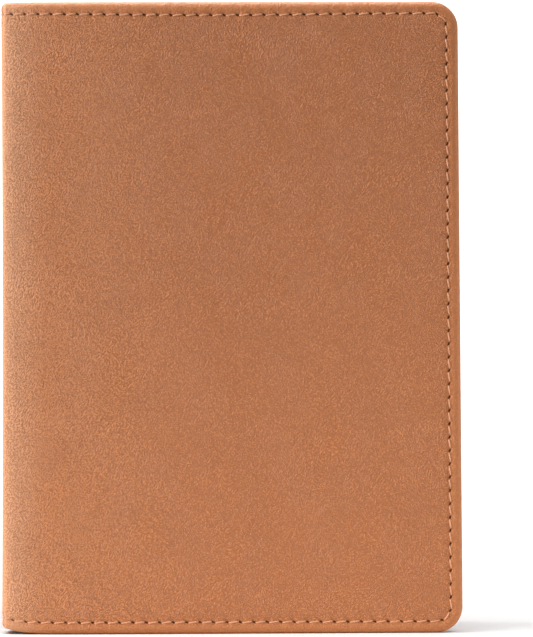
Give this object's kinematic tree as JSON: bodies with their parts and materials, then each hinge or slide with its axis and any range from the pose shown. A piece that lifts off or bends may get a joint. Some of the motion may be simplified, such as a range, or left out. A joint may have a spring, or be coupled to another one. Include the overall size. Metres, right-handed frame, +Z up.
{
  "type": "leather notebook cover",
  "caption": "Bifold leather cover for a pocket notebook, with a rounded spine, turned and stitched edges, and an inner sleeve in each hinged cover.",
  "frame": {"origin": "middle of the cover's box at rest, on the surface that it stands on", "axes": "+Z up along the spine, -Y out of the front cover, -X towards the spine"},
  "size_m": [0.1126, 0.0346, 0.155],
  "materials": {
    "tan_leather": "smooth, fine grained, satin",
    "sleeve_leather": "smooth, fine grained, satin",
    "board": "matt bonded leather board",
    "lining_cloth": "matt woven cloth",
    "thread": "waxed, twisted"
  },
  "bodies": {
    "spine": {"spine_leather": "tan_leather", "spine_front_bend": "tan_leather", "spine_back_bend": "tan_leather", "spine_edge": "tan_leather", "spine_turn_in": "tan_leather", "spine_stiffener": "board", "spine_lining": "lining_cloth", "spine_stitching": "thread"},
    "front_cover": {"front_leather": "tan_leather", "front_edge": "tan_leather", "front_turn_in": "tan_leather", "front_stiffener": "board", "front_lining": "lining_cloth", "front_sleeve": "sleeve_leather", "front_stitching": "thread", "front_sleeve_stitching": "thread"},
    "back_cover": {"back_leather": "tan_leather", "back_edge": "tan_leather", "back_turn_in": "tan_leather", "back_stiffener": "board", "back_lining": "lining_cloth", "back_sleeve": "sleeve_leather", "back_stitching": "thread", "back_sleeve_stitching": "thread"}
  },
  "joints": [
    {"name": "front_hinge", "type": "hinge", "parent": "spine", "child": "front_cover", "pos_m": [-0.05483, -0.01575, 0], "axis": [0, 0, -1], "range_deg": [0, 90]},
    {"name": "back_hinge", "type": "hinge", "parent": "spine", "child": "back_cover", "pos_m": [-0.05483, -0.00329, 0], "axis": [0, 0, 1], "range_deg": [-10, 80]}
  ]
}
